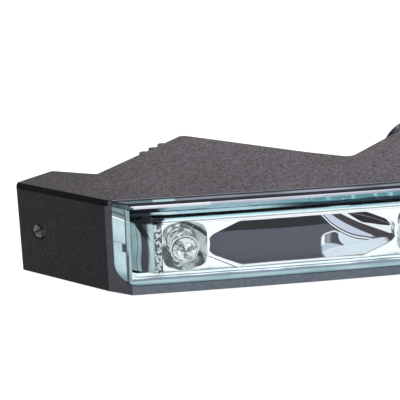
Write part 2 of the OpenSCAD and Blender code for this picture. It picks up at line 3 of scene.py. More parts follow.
import bmesh
import bpy
import numpy as np
from mathutils import Matrix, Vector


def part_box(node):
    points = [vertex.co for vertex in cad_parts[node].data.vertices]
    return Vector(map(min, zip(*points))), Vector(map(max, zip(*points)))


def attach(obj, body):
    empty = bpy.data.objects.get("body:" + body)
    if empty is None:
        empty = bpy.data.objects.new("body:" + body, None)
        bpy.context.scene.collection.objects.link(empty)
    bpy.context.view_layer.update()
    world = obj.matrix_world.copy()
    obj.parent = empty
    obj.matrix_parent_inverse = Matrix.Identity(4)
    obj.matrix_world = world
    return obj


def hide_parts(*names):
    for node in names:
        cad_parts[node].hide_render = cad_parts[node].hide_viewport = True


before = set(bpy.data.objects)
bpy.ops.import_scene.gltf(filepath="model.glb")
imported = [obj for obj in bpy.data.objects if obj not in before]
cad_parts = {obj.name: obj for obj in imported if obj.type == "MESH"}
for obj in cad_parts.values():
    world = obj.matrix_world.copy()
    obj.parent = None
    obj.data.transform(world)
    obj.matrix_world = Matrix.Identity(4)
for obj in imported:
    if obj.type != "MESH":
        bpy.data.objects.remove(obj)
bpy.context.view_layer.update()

MM = 0.001
MIDDLE_Y = -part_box("lens")[0].y / MM - 7.2
TURN = 2 * np.pi

# Housing and front arc
HALF_W = 102.5
MIDDLE_Z = 12
FRONT_REACH = 7.2
FRONT_RADIUS = 1450
CORNER_X = 97
SEAT_BACK, SEAT_END_X, SEAT_Z = 8.2, 99, (1, 23.9)
END_REACH, END_DEPTH = 21.4, 19.9
THREAD_ALONG, THREAD_R, THREAD_RIDGE, THREAD_PITCH = 22, 1.97, 0.32, 0.7

# Front cover: its outline, the hollow behind it, and the seal round that
COVER_LOW, COVER_HIGH, COVER_END_X, COVER_CORNER_R = 2.3, 23.6, 100.875, 5.6
HOLLOW_LOW, HOLLOW_HIGH, HOLLOW_END_X, HOLLOW_CORNER_R = 4.1, 21.1, 98.05, 3.2
COVER_DEPTH, COVER_WALL, COVER_EDGE_R = 3.8, 1.5, 1.2
RIM_LOW = COVER_LOW - 0.25
RIM_LINE_W = 0.8
LOW_EDGE, END_EDGE = 1.4, 0.25
SEAL_T, SEAL_HIGH, SEAL_DROP = 0.6, 23.95, 19.5

# Reflector
FACE_SET, FACE_T, FACE_END_X, FACE_LOW, FACE_HIGH = 3, 1.4, 91, 4.3, 18.3
WING_END_X, WING_BACK, WING_OVER = 97.5, 4.6, 1.1
LIGHT_X = (-83.1, -22.6, 22.6, 83.1)
LIGHT_Z = 11.3
LIGHT_DROP = 1.196
LOW_Z = LIGHT_Z - LIGHT_DROP
POCKET_W, POCKET_H, POCKET_R, POCKET_HOLE_R = 10.8, 11.6, 2.4, 4.3
WEB = 0.45
WINDOW_H, WINDOW_END_H, WINDOW_TAPER, WINDOW_R, WINDOW_TIP_R = 11.6, 4.3, 8.2, 1.8, 3.3
WINDOW_Z = LIGHT_Z - 0.2
MIRROR_DEEP, BOWL_BACK_Y, BOWL_R, BOWL_IN = 2.6, 3.5, 11.2, 10.3
BEAD_X, BEAD_PITCH, BEAD_R, BEAD_RISE = (-90.45, -89.4), 1.15, 0.52, 0.34
BOARD_Y = 6

# Optic over each light
DOME_R, DOME_RISE, DOME_SET = 3.6, 1.5, 3.8
DOME_FOOT_R, DOME_FOOT_T, DOME_HOLLOW_R = 4.1, 1, 2.8

# Cable gland
TIP_Y = 44.867
GLAND_FLATS, GLAND_HEX_T, WASHER_T, STUB_R = 19, 4, 1, 5
NUT_R, NUT_L, NUT_ROUND, NUT_HOLE_R = 10.6, 10, 2, 5.1


def arc_y(x, setback=0):
    """Front arc in plan: a circle's y at each x, its radius less by the setback."""
    return FRONT_RADIUS - FRONT_REACH - np.sqrt((FRONT_RADIUS - setback) ** 2 - np.square(x))


CORNER_Y = float(arc_y(CORNER_X))
FACET_SLOPE = -CORNER_Y / (HALF_W - CORNER_X)
FACET_STRETCH = math.hypot(1, FACET_SLOPE)


def front_y(x, setback=0):
    """Front of the lamp in plan: the arc, or the corner's facet where that lies further back."""
    facet = CORNER_Y + (np.abs(x) - CORNER_X) * FACET_SLOPE + setback * FACET_STRETCH
    return np.maximum(arc_y(x, setback), facet)


class Patch:
    """A grid of points in millimetres, whose rows may close to a tube and whose columns to a loop."""

    def __init__(self, points, material=0, tube=False, loop=False, flip=False):
        self.points = np.asarray(points, float)
        self.material = material
        rows, cols = self.points.shape[:2]
        i, j = np.meshgrid(np.arange(rows - (not tube)), np.arange(cols - (not loop)), indexing="ij")
        down, right = (i + 1) % rows, (j + 1) % cols
        quads = np.stack([i * cols + j, i * cols + right, down * cols + right, down * cols + j], -1).reshape(-1, 4)
        self.quads = quads[:, ::-1] if flip else quads


def points_of(x, y, z):
    """Grid points from three arrays that are spread over one another's shape."""
    return np.stack(np.broadcast_arrays(x, y, z), -1).astype(float)


def into_scene(name, data):
    """A new object in the scene around a mesh, light or camera."""
    made = bpy.data.objects.new(name, data)
    bpy.context.scene.collection.objects.link(made)
    return made


def build_piece(name, patches, materials, closed=True, sharp=35):
    """One mesh object from patches, in metres in the row's frame, with shared corners merged."""
    starts = np.cumsum([0] + [p.points.shape[0] * p.points.shape[1] for p in patches])
    points = np.concatenate([p.points.reshape(-1, 3) for p in patches])
    points = (points - np.array([0, MIDDLE_Y, 0])) * MM
    quads = np.concatenate([p.quads + s for p, s in zip(patches, starts)])
    numbers = np.concatenate([np.full(len(p.quads), p.material) for p in patches])
    mesh = bpy.data.meshes.new(name)
    mesh.from_pydata(points.tolist(), [], quads.tolist())
    mesh.polygons.foreach_set("material_index", numbers.astype(np.int32))
    shape = bmesh.new()
    shape.from_mesh(mesh)
    bmesh.ops.remove_doubles(shape, verts=shape.verts, dist=2e-6)
    bmesh.ops.dissolve_degenerate(shape, edges=shape.edges, dist=1e-7)
    if closed:
        bmesh.ops.recalc_face_normals(shape, faces=shape.faces)
    shape.to_mesh(mesh)
    shape.free()
    mesh.shade_smooth()
    mesh.set_sharp_from_angle(angle=math.radians(sharp))
    for material in materials:
        mesh.materials.append(material)
    return into_scene(name, mesh)


def faces_of(mesh):
    """Each face's normal, distance behind the front, and middle in the CAD's plan."""
    normal, middle = np.empty(3 * len(mesh.polygons)), np.empty(3 * len(mesh.polygons))
    mesh.polygons.foreach_get("normal", normal)
    mesh.polygons.foreach_get("center", middle)
    middle = middle.reshape(-1, 3) / MM + np.array([0, MIDDLE_Y, 0])
    return normal.reshape(-1, 3), middle[:, 1] - front_y(middle[:, 0]), middle


def paint_faces(mesh, ground, *layers):
    """Gives a mesh a ground material, and each (mask, material) over it in turn."""
    materials = [ground]
    numbers = np.zeros(len(mesh.polygons), np.int32)
    for mask, material in layers:
        if material not in materials:
            materials.append(material)
        numbers[mask] = materials.index(material)
    mesh.materials.clear()
    for material in materials:
        mesh.materials.append(material)
    mesh.polygons.foreach_set("material_index", numbers)


def seat_piece(piece, slot, *nodes):
    """Ties a piece to the lamp's one body and hides the CAD nodes it stands for; the slot is not used."""
    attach(piece, "root")
    if nodes:
        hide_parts(*nodes)


def turned(profile, centre, steps=96, sign=1, flutes=None):
    """(Radius, height) pairs turned about the centre, heights along y times the sign; flutes scale the radius."""
    profile = np.asarray(profile, float)
    angle = np.linspace(0, TURN, steps, endpoint=False)[None, :]
    radius, height = profile[:, :1], profile[:, 1:]
    if flutes is not None:
        radius = radius * flutes(angle, height)
    across, up = radius * np.cos(angle), radius * np.sin(angle)
    points = points_of(centre[0] + across, centre[1] + sign * height, centre[2] + up)
    return Patch(points, loop=True, flip=sign > 0)


def arc_points(centre, radius, start, stop, steps=8):
    """Points (radius, height) of a circle's arc between two angles in degrees."""
    angle = np.radians(np.linspace(start, stop, steps))
    return np.stack([centre[0] + radius * np.cos(angle), centre[1] + radius * np.sin(angle)], -1)


# Nodes of materials

def feed(socket, value):
    """Sets a socket to a constant, or links a Value or another socket into it."""
    if isinstance(value, Value):
        value = value.socket
    if isinstance(value, bpy.types.NodeSocket):
        socket.id_data.links.new(value, socket)
    else:
        socket.default_value = value


def add_node(tree, kind, inputs=None, **values):
    """A node with attributes, and inputs that are fed by name or number."""
    node = tree.nodes.new(kind)
    for key, value in values.items():
        setattr(node, key, value)
    for key, value in (inputs or {}).items():
        feed(node.inputs[key], value)
    return node


class Value:
    """A number that nodes work out; sums, differences and products of it add Math nodes."""

    def __init__(self, socket):
        self.socket = socket
        self.tree = socket.id_data

    def math(self, operation, *others):
        inputs = dict(enumerate((self, *others)))
        return Value(add_node(self.tree, "ShaderNodeMath", inputs, operation=operation).outputs[0])

    def __add__(self, other):
        return self.math("ADD", other)

    def __sub__(self, other):
        return self.math("SUBTRACT", other)

    def __rsub__(self, other):
        return self.math("MULTIPLY_ADD", -1, other)

    def __mul__(self, other):
        return self.math("MULTIPLY", other)

    def __abs__(self):
        return self.math("ABSOLUTE")

    def ramp(self, low, high, to_low=0, to_high=1, kind="LINEAR"):
        """The value carried from one range to another, and held at its ends."""
        inputs = {"Value": self, "From Min": low, "From Max": high, "To Min": to_low, "To Max": to_high}
        node = add_node(self.tree, "ShaderNodeMapRange", inputs, interpolation_type=kind)
        return Value(node.outputs["Result"])

    def fade(self, low, high, to_low=0, to_high=1):
        """A ramp with eased ends."""
        return self.ramp(low, high, to_low, to_high, "SMOOTHSTEP")

    def stripe(self, middle, half_width, soft):
        """Mask of a stripe: one within half a width of its middle."""
        return abs(self - middle).fade(half_width - soft, half_width + soft, 1, 0)

    def over(self, height, soft=0.1):
        """Mask of what lies over a height."""
        return (self - height).fade(-soft, soft)


def noise(vector, **inputs):
    """Fractal noise over a vector."""
    return Value(add_node(vector.id_data, "ShaderNodeTexNoise", {"Vector": vector, **inputs}).outputs["Fac"])


def cells(vector, scale):
    """Cells over a vector: distance from each one's middle, and its colour."""
    inputs = {"Vector": vector, "Scale": scale}
    return add_node(vector.id_data, "ShaderNodeTexVoronoi", inputs, feature="F1").outputs


def blend(mask, low, high):
    """A colour between two sockets or tones in thousandths, by a mask or a plain share."""
    tree = mask.tree if isinstance(mask, Value) else low.id_data
    mix = add_node(tree, "ShaderNodeMix", {"Factor": mask}, data_type="RGBA")
    for key, tone in (("A", low), ("B", high)):
        feed(mix.inputs[key], (*(part / 1000 for part in tone), 1) if isinstance(tone, tuple) else tone)
    return mix.outputs["Result"]


def shader_group(name, *outputs):
    """An empty node group from a vector and a scale to named numbers."""
    tree = bpy.data.node_groups.new(name, "ShaderNodeTree")
    for label, kind in (("Vector", "NodeSocketVector"), ("Scale", "NodeSocketFloat")):
        tree.interface.new_socket(label, in_out="INPUT", socket_type=kind)
    for label in outputs:
        tree.interface.new_socket(label, in_out="OUTPUT", socket_type="NodeSocketFloat")
    return tree, tree.nodes.new("NodeGroupInput").outputs, tree.nodes.new("NodeGroupOutput").inputs


def grain_group():
    """Coat grain: fine noise over finer cells, with a slow cloud that varies them."""
    tree, given, result = shader_group("Coat grain", "Grain", "Cloud", "Height")
    fine = noise(given["Vector"], Scale=given["Scale"], Detail=4, Roughness=0.65)
    spots = cells(given["Vector"], Value(given["Scale"]) * 1.7)
    feed(result["Grain"], fine.ramp(0.3, 0.72))
    feed(result["Cloud"], noise(given["Vector"], Scale=55, Detail=3))
    feed(result["Height"], fine - Value(spots["Distance"]) * 0.35)
    return tree


def ripple_group():
    """Slow unevenness of a moulded, coated or machined skin."""
    tree, given, result = shader_group("Moulded ripple", "Mask", "Height")
    wave = noise(given["Vector"], Scale=given["Scale"], Detail=2, Distortion=0.4)
    feed(result["Mask"], wave.ramp(0.35, 0.65))
    feed(result["Height"], wave)
    return tree


GRAIN = grain_group()
RIPPLE = ripple_group()


class Coat:
    """A material with one Principled shader, and the colour laid up for it."""

    def __init__(self, name, **constants):
        self.material = bpy.data.materials.new(name)
        self.material.use_nodes = True
        self.tree = self.material.node_tree
        self.shader = self.tree.nodes["Principled BSDF"].inputs
        for key, value in constants.items():
            key = "Specular_IOR_Level" if key == "shine" else key
            self.shader[key.replace("_", " ")].default_value = value
        self.place = self.node("ShaderNodeTexCoord").outputs["Object"]
        self.mask = self.height = self.colour = None
        self.glows = "Emission_Strength" in constants and "Emission_Color" not in constants

    def node(self, kind, inputs=None, **values):
        return add_node(self.tree, kind, inputs, **values)

    def group(self, tree, scale, stretch=None):
        """A shared group's outputs by name, with the place's axes stretched if asked."""
        place = self.place
        if stretch:
            place = self.node("ShaderNodeMapping", {"Vector": place, "Scale": stretch}).outputs["Vector"]
        made = self.node("ShaderNodeGroup", {"Scale": scale, "Vector": place}, node_tree=tree)
        return {socket.name: Value(socket) for socket in made.outputs}

    def ripple(self, scale, low=None, high=None, stretch=None):
        """Keeps the shared ripple's mask and height, and starts the colour by the mask."""
        group = self.group(RIPPLE, scale, stretch)
        self.mask, self.height = group["Mask"], group["Height"]
        if low:
            self.colour = blend(self.mask, low, high)

    def parts(self):
        """The place's x and z."""
        parts = self.node("ShaderNodeSeparateXYZ", {0: self.place}).outputs
        return Value(parts["X"]), Value(parts["Z"])

    def spread(self, sway):
        """Millimetres outwards from the lamp's middle and up, both warped by up to the sway."""
        drift = noise(self.place, Scale=120, Detail=1).ramp(0, 1, -sway, sway)
        x, z = self.parts()
        return abs(x) * (1 / MM) + drift, z * (1 / MM) + drift

    def lay(self, mask, tone):
        """Lays a tone over the colour so far by a mask."""
        self.colour = blend(mask, self.colour, tone)

    def rough(self, low, high):
        """Roughness by the ripple's mask."""
        feed(self.shader["Roughness"], self.mask.ramp(0, 1, low, high))

    def dimmed(self, low, high):
        """The colour so far, darkened by a share between two by the ripple's mask."""
        return blend(self.mask.ramp(0, 1, low, high), self.colour, NO_LIGHT)

    def finish(self, strength, distance=0.0002, height=None, base=None, glow=None):
        """Feeds the shader its base colour, relief and, where it glows, glow."""
        feed(self.shader["Base Color"], base or self.colour)
        if self.glows:
            feed(self.shader["Emission Color"], glow or self.colour)
        inputs = {"Height": height or self.height, "Strength": strength, "Distance": distance}
        relief = self.node("ShaderNodeBump", inputs)
        feed(self.shader["Normal"], relief.outputs["Normal"])
        return self.material


# Materials: distances and heights in millimetres outwards and up, tones in thousandths of linear colour

NO_LIGHT = (0, 0, 0)
SHADOW = (6, 9, 13)
# A brown tone in the bowls' painted reflections.
BROWN_REFLECTION = (65, 58, 68)


def film(name, sway, **constants):
    """A coat with the distances outwards and up that its layers are placed by."""
    coat = Coat(name, **constants)
    return coat, *coat.spread(sway)


def slant(across, up, at_across, at_up, slope):
    """Height over a slanting line through a point."""
    return (up - at_up) - (across - at_across) * slope


def curve(across, *numbers):
    """Height of a smooth line through points, given as distance outwards and height in turn."""
    points = list(zip(numbers[::2], numbers[1::2]))
    first, last, low, high = points[0][0], points[-1][0], -5, 25
    node = add_node(across.tree, "ShaderNodeFloatCurve", {"Value": across.ramp(first, last)})
    line = node.mapping.curves[0]
    while len(line.points) < len(points):
        line.points.new(0.5, 0.5)
    for point, (x, z) in zip(line.points, points):
        point.location = ((x - first) / (last - first), (z - low) / (high - low))
        point.handle_type = "AUTO_CLAMPED"
    node.mapping.update()
    return Value(node.outputs["Value"]).ramp(0, 1, low, high)


def grained(name, low, high, rough, scale, strength=0.3, distance=0.0001,
            stretch=(1, 1, 1), end_dark=0, **constants):
    """A coat with the shared grain in colour, roughness and relief, darker towards the ends if asked."""
    coat = Coat(name, **constants)
    group = coat.group(GRAIN, scale, stretch)
    coat.colour = blend(group["Grain"] * group["Cloud"].ramp(0.2, 0.8, 0.75, 1.15), low, high)
    if end_dark:
        across, up = coat.spread(4)
        coat.lay(across.fade(75, 112, 0, end_dark), low)
    feed(coat.shader["Roughness"], group["Grain"].ramp(0, 1, *rough))
    return coat.finish(strength, distance, group["Height"])


def rippled(name, low, high, rough, scale, strength=0.1, **constants):
    """A smooth skin with the shared slow ripple in colour, roughness and relief."""
    coat = Coat(name, **constants)
    coat.ripple(scale, low, high)
    coat.rough(*rough)
    return coat.finish(strength)


def cover_plastic():
    """Clear plastic that looks teal where its walls are seen edge on: along the rim and at the ends."""
    coat = Coat("Clear cover plastic", Transmission_Weight=1, IOR=1.12)
    x, z = coat.parts()
    low = z.fade(COVER_LOW * MM, (COVER_LOW + 1.6) * MM, 1, 0)
    high = z.fade((COVER_HIGH - 4.2) * MM, COVER_HIGH * MM, 0, 0.9)
    end = abs(x).fade(92.5 * MM, 98.5 * MM, 0, 0.62)
    coat.colour = blend(low.math("MAXIMUM", high).math("MAXIMUM", end), (970, 990, 990), (620, 830, 900))
    coat.ripple(260)
    coat.rough(0, 0.02)
    return coat.finish(0.06)


def faceted_optic():
    """Clear plastic of an optic: small lenses, some with painted glints that glow, inside two fine dark rings."""
    coat, across, up = film("Clear optic, painted glints", 0.05, Transmission_Weight=1, IOR=1.25, Roughness=0.01,
                            Emission_Strength=0.55)
    coat.ripple(700, (600, 640, 640), (920, 950, 950))
    facets = cells(coat.place, 620)
    aside = abs(across - LIGHT_X[3]).math("MINIMUM", abs(across - LIGHT_X[2]))
    spot = coat.node("ShaderNodeCombineXYZ", {"X": aside, "Y": up - LOW_Z}).outputs["Vector"]
    from_light = Value(coat.node("ShaderNodeVectorMath", {0: spot}, operation="LENGTH").outputs["Value"])
    ring = abs(from_light - 3.46).stripe(0.27, 0.11, 0.05)
    coat.lay(ring, (30, 35, 35))
    pick = coat.node("ShaderNodeSeparateColor", {"Color": facets["Color"]}).outputs["Red"]
    # The picked lenses carry painted glints, which glow.
    lit = Value(pick).fade(0.5, 0.75) * (1 - ring)
    return coat.finish(1, 0.001, facets["Distance"], glow=blend(lit, NO_LIGHT, (800, 850, 870)))


def painted_rim(name, low, high, glow, rough=(0.16, 0.3), scale=160, zones=(), **constants):
    """Thick clear plastic seen edge on: an opaque skin whose tones are painted light and shade, with a painted glow
    where one is given, uneven along its length.

    Zones (from, to, tone) lie over it between two distances outwards.
    """
    coat = Coat(name, Emission_Strength=glow, **constants)
    coat.ripple(scale, low, high, (0.35, 1, 3))
    if zones:
        across, up = coat.spread(0.5)
        for near, far, tone in zones:
            coat.lay(across.stripe((near + far) / 2, (far - near) / 2, 0.25), tone)
    coat.rough(*rough)
    return coat.finish(0.1)


def end_rim():
    """The cover's end, with a painted glow: pale plastic over the seal, a clip's dark notch and fine lines."""
    coat, across, up = film("Rim end, pale, painted glow", 0.12, Roughness=0.2, Emission_Strength=0.3)
    coat.ripple(170, (360, 500, 540), (500, 680, 720))
    coat.lay(up.fade(6.5, 4.5), (160, 270, 290))
    crown = slant(across, up, 100.4, 20.3, 0.24)
    coat.lay(crown.ramp(0, 0.3), (150, 230, 240))
    coat.lay(crown.stripe(1.3, 0.3, 0.2), (50, 80, 85))
    coat.lay(crown.stripe(0, 0.14, 0.06), (950, 980, 980))
    coat.lay(slant(across, up, 100.7, 13.95, 0.065).stripe(0, 0.07, 0.05), (120, 170, 190))
    coat.lay(across.ramp(98, 97.8, 0, 0.75), (240, 340, 360))
    coat.lay(up.fade(13, 10) * across.stripe(97.75, 0.3, 0.08), (30, 50, 60))
    coat.lay(across.stripe(97.95, 0.16, 0.06), (60, 85, 100))
    coat.lay(across.stripe(98.45, 0.5, 0.08) * up.stripe(12.5, 1.1, 0.1), (25, 30, 35))
    return coat.finish(0.1)


def sealing_gel():
    """Sealing compound with a painted glow: pale below with a painted band of light, painted shade under the top
    corners and low along its top in the middle, teal with bubbles and their painted glints between.
    """
    coat, across, up = film("Sealing gel, painted light and shade", 0.45, Roughness=0.35, Emission_Strength=1, shine=0.2)
    cloud = noise(coat.place, Scale=45, Detail=3).fade(0.4, 0.6, 0.1, 1)
    bubbles = Value(cells(coat.place, 700)["Distance"])
    coat.colour = blend(across.fade(48, 66), (170, 400, 420), (460, 620, 680))
    # Painted glints on the bubbles.
    coat.lay(bubbles.fade(0.2, 0.42, 1, 0) * cloud, (660, 880, 920))
    coat.lay(up.stripe(21.8, 0.15, 0.08), (40, 80, 100))
    # Painted shade under the top corners.
    coat.lay(across.fade(86, 90) * up.ramp(18.5, 19.5), (6, 9, 14))
    coat.lay(across.stripe(87.9, 2.9, 0.7) * up.stripe(20, 0.4, 0.12), (650, 800, 850))
    # Painted shade low along the top, in the middle.
    coat.lay(across.fade(66, 52, 0, 0.95) * up.ramp(20.75, 20.2), (2, 12, 30))
    coat.lay(across.ramp(96.8, 97.3) * up.ramp(19.5, 18.5), (500, 700, 730))
    low = up.ramp(5, 6, 1, 0)
    # A painted band of light along the bottom, which also glows.
    lit = low * up.ramp(2.85, 3.05)
    coat.lay(low, (340, 410, 480))
    coat.lay(lit, (950, 980, 1000))
    coat.lay(up.ramp(22.9, 23.2), (60, 65, 75))
    halved = blend(0.5, coat.colour, NO_LIGHT)
    return coat.finish(0.3, height=bubbles, glow=blend(lit, halved, (820, 860, 880)))


def wing_reflections():
    """The wings, with painted reflections and a painted glow: pale teal with a dark upright band that leans over at
    its top, and a painted shadow along their top.
    """
    coat, across, up = film("Wing, painted reflections", 0.9, Metallic=0.15, Roughness=0.3, Emission_Strength=0.36)
    coat.ripple(200, (400, 530, 540), (540, 680, 680))
    coat.lay(across.stripe(93.15, 0.85, 0.12), (70, 70, 95))
    coat.lay(across.stripe(92.15, 0.1, 0.06), (120, 160, 180))
    lean = slant(across, up, 93.6, 15.6, 1.75).stripe(0, 1.5, 0.3)
    coat.lay(lean * up.fade(12.5, 14.5), (6, 8, 12))
    coat.lay(across.stripe(96.3, 0.08, 0.05), (160, 210, 230))
    coat.lay(across.stripe(94.9, 0.07, 0.05), (100, 140, 160))
    coat.lay(up.fade(17, 17.4), SHADOW)
    return coat.finish(0.1)


def window_reflections():
    """Painted reflections of a long window's mirror, with a painted glow: a dark panel with a painted shadow along
    its top, and the bright, brown and dark shapes of its bowl.
    """
    coat, across, up = film("Window, painted reflections", 0.35, Emission_Strength=0.85, shine=0.06)
    first = curve(across, 26, 5.4, 29, 6.2, 32.3, 7.1, 37.5, 8.1, 43.5, 12, 46.1, 14.8, 48, 17)
    second = curve(across, 26, 4, 28.5, 5.6, 30.1, 6.6, 31.2, 7.4, 35.8, 9.3, 43.1, 14, 45, 16)
    third = curve(across, 26, 9, 31.1, 10, 35, 11.1, 40.7, 14.1, 43.5, 16)
    leaf_low = curve(across, 29.1, 12, 32, 11.4, 35, 11.5, 37.3, 12.8, 40, 14.8)
    leaf_top = curve(across, 29.1, 12, 30.6, 13.6, 33.9, 15.1, 38.6, 15.4, 40, 14.8)
    curl = curve(across, 31, 6.6, 34, 7.2, 38.4, 8.2, 41.4, 9.2, 43.5, 10.1, 46.2, 10.1, 47.2, 8.8, 47.6, 6)
    fold = curve(across, 30, 0, 38.4, 4.3, 40.7, 6.1, 41.5, 7.4, 41.9, 9.4, 43, 12)
    foot = curve(across, 34, 2.7, 38.4, 4.3, 41, 5.6, 45.2, 7.3, 46.6, 7.9, 48, 8.2)
    # The bowl's lower leaf of painted reflection, and the panel that ends it
    coat.ripple(130, (620, 730, 820), (780, 870, 950))
    on_foot = up.over(foot)
    coat.lay(1 - on_foot, (500, 600, 700))
    coat.lay(on_foot * (1 - up.over(fold)), (85, 82, 100))
    coat.lay(across.stripe(44.9, 0.7, 0.6) * on_foot, (300, 340, 420))
    coat.lay(up.stripe(foot, 0.1, 0.06), (200, 260, 300))
    # Painted shadow along the top of the panel, cast by the window's upper edge.
    painted_shadow_top = (up + across.ramp(47.2, 44, 0, 1.3)).over(LIGHT_Z + 2.05)
    panel = blend(painted_shadow_top, blend(coat.mask, (93, 102, 128), (108, 118, 146)), (28, 32, 36))
    coat.lay(up.over(curl).math("MAXIMUM", across.fade(46.6, 47.4)), panel)
    coat.lay(up.stripe(curl - 0.15, 0.22, 0.1) * across.ramp(47, 47.6, 1, 0), (750, 800, 860))
    coat.lay(across.stripe(46.6, 0.6, 0.25) * up.stripe(8.5, 1.3, 0.5), (950, 970, 1000))
    # The arm's three fine lines, then its bright, brown and pale folds, all painted reflections
    arm = across.fade(32, 33.4)
    for line, half_width, tone in ((-0.75, 0.16, (50, 60, 70)), (-0.4, 0.2, (850, 900, 950)),
                                   (0, 0.17, (40, 60, 60))):
        coat.lay(up.stripe(first + line, half_width, 0.07) * arm, tone)
    coat.lay(up.over(first + 0.2) * arm, (600, 640, 780))
    coat.lay(up.over(second), BROWN_REFLECTION)
    coat.lay(up.over(third), (880, 920, 950))
    # The dark upper leaf with its split, painted reflections
    leaf = up.over(leaf_low) * (1 - up.over(leaf_top)) * across.ramp(29.1, 29.6)
    coat.lay(leaf, (28, 28, 34))
    coat.lay(leaf * slant(across, up, 34.2, 13.3, 0.21).stripe(0, 0.09, 0.06), (200, 200, 220))
    coat.rough(0.3, 0.4)
    return coat.finish(0.05, base=coat.dimmed(0.76, 0.82))


def window_side_reflections():
    """Painted reflections on a window's side walls, with a painted glow: dark along the flat panel, pale and brown
    round the bowl.
    """
    coat, across, up = film("Window sides, painted reflections", 0.3, Emission_Strength=0.8, shine=0.06)
    coat.ripple(260, (85, 94, 118), (108, 118, 146))
    coat.lay(across.ramp(47.4, 46.6), (740, 840, 910))
    coat.lay(up.over(8.2, 0.4) * across.ramp(40, 39), BROWN_REFLECTION)
    return coat.finish(0.05, base=coat.dimmed(0.7, 0.8))


def bead_glints():
    """The beaded strip with a painted glow: painted glints and dark gaps between two plain edges, and a painted
    shadow along its top.
    """
    coat, across, up = film("Beads, painted glints", 0.12, Metallic=0.4, Roughness=0.2, Emission_Strength=0.3)
    gaps = Value(cells(coat.place, 1250)["Distance"])
    coat.colour = blend(gaps.fade(0.42, 0.6), (620, 720, 730), (100, 130, 140))
    coat.lay(across.stripe(88.85, 0.1, 0.06), (60, 70, 80))
    coat.lay(across.ramp(90.65, 90.75), (420, 560, 570))
    coat.lay(across.ramp(88.8, 88.7), (900, 920, 940))
    coat.lay(up.over(17.3, 0.2), SHADOW)
    return coat.finish(0.4, 0.0003, gaps)


def face_film():
    """Bright film of the face, with fine lines, and a painted shadow in the top corners at its ends."""
    coat, across, up = film("Bright metal film", 0.1, Metallic=1)
    coat.ripple(140, (860, 880, 900), (930, 940, 950))
    coat.lay(up.stripe(17.85, 0.16, 0.08), (300, 360, 400))
    coat.lay(up.stripe(17.3, 0.06, 0.04), (550, 560, 600))
    outline = slant(across, up, 74.6, 6.75, 0.51).stripe(0, 0.12, 0.06)
    coat.lay(outline * across.stripe(73.6, 3.6, 0.2), (100, 110, 120))
    coat.lay(up.over(17, 0.2) * across.ramp(88, 89.2), SHADOW)
    coat.rough(0.16, 0.26)
    return coat.finish(0.08)


def pocket_reflections():
    """Painted reflections of a lamp pocket, with a painted glow: patches, streaks, two dark bands and a bright notch.
    """
    coat, across, up = film("Pocket metal, painted reflections", 1.4, Metallic=0.4, Roughness=0.2, Emission_Strength=0.3)
    patches = noise(coat.place, Scale=230, Detail=3, Distortion=1.2)
    tone = (patches - across.fade(81, 86.5, -0.12, 0.16)).fade(0.43, 0.49)
    coat.colour = blend(tone, (110, 130, 120), (720, 800, 820))
    streaks = noise(coat.place, Scale=700, Detail=2, Distortion=2)
    coat.lay(streaks.stripe(0.5, 0.02, 0.01), (60, 65, 70))
    low_dark_band = slant(across, up, 79.5, 5.9, -0.1).stripe(0, 0.6, 0.3)
    coat.lay(low_dark_band * across.ramp(82.4, 81.4), (80, 85, 90))
    coat.lay(up.stripe(10.4, 1.5, 0.7) * across.ramp(86.9, 87.5), (900, 930, 940))
    high_dark_band = slant(across, up, 80.3, 14.2, 0.42).stripe(0, 0.9, 0.3)
    coat.lay(high_dark_band * across.ramp(83.6, 83), (25, 25, 30))
    return coat.finish(0.3, 0.0005, patches)


HOUSING_COAT = grained(
    "Black grained coat", (6, 5, 6), (83, 75, 82), (0.5, 0.66), 1900, 0.8, 0.0002, stretch=(1, 0.5, 1), end_dark=0.5,
    shine=0.08)
# Copies of the black coat in other tones. The side-lip and lip copies are lighter and bluer as painted light; the
# end, seat and bevel copies are darker as painted shade.
SHADED_END_COAT = grained("End coat, painted shade", (8, 8, 8.5), (40, 40, 43), (0.45, 0.6), 1800, 0.5, shine=0.08)
LIT_SIDE_COAT = grained("Side lip coat, painted light", (45, 46, 56), (85, 86, 100), (0.4, 0.55), 1400, 0.3, 0.00008, shine=0.2)
LIT_LIP_COAT = grained("Lip coat, painted light", (110, 135, 165), (190, 225, 265), (0.4, 0.55), 1100, 0.3, 0.00008, shine=0.3)
SEAT_SHADE = grained("Seat, painted shade", (1, 1, 1), (3, 3, 3), (0.6, 0.7), 1500, 0.2, 0.00008, shine=0.05)
SHADED_BEVEL_COAT = grained("Bevel coat, painted shade", (2, 2, 2.5), (8, 7.5, 8), (0.4, 0.55), 1500, 0.3, 0.00008, shine=0.03)
COVER_CLEAR = cover_plastic()
SEAL_GEL = sealing_gel()
# Painted highlight along the cover's rounded top front edge; the same edge near the ends is a darker copy without it,
# as painted shade.
RIM_HIGHLIGHT = painted_rim(
    "Rim edge, painted highlight", (260, 340, 400), (560, 570, 660), 0, (0.3, 0.45), 110, [(77, 97, (720, 750, 780))],
    shine=0.25)
RIM_SHADED = painted_rim("Rim edge, end, painted shade", (30, 60, 70), (120, 170, 200), 0, (0.3, 0.45), 260, shine=0.15)
RIM_END = end_rim()
# Painted reflection on the cover's top face, with a pale and a teal zone towards the ends.
RIM_TOP = painted_rim(
    "Rim top, painted reflection", (70, 80, 100), (160, 170, 200), 0, (0.3, 0.4),
    zones=[(90.6, 110, (45, 75, 80)), (85.3, 90.6, (200, 290, 300))], shine=0.3)
RIM_LINE = painted_rim("Rim shadow line", (2, 2, 4), (6, 6, 12), 0, (0.4, 0.5), shine=0.03)
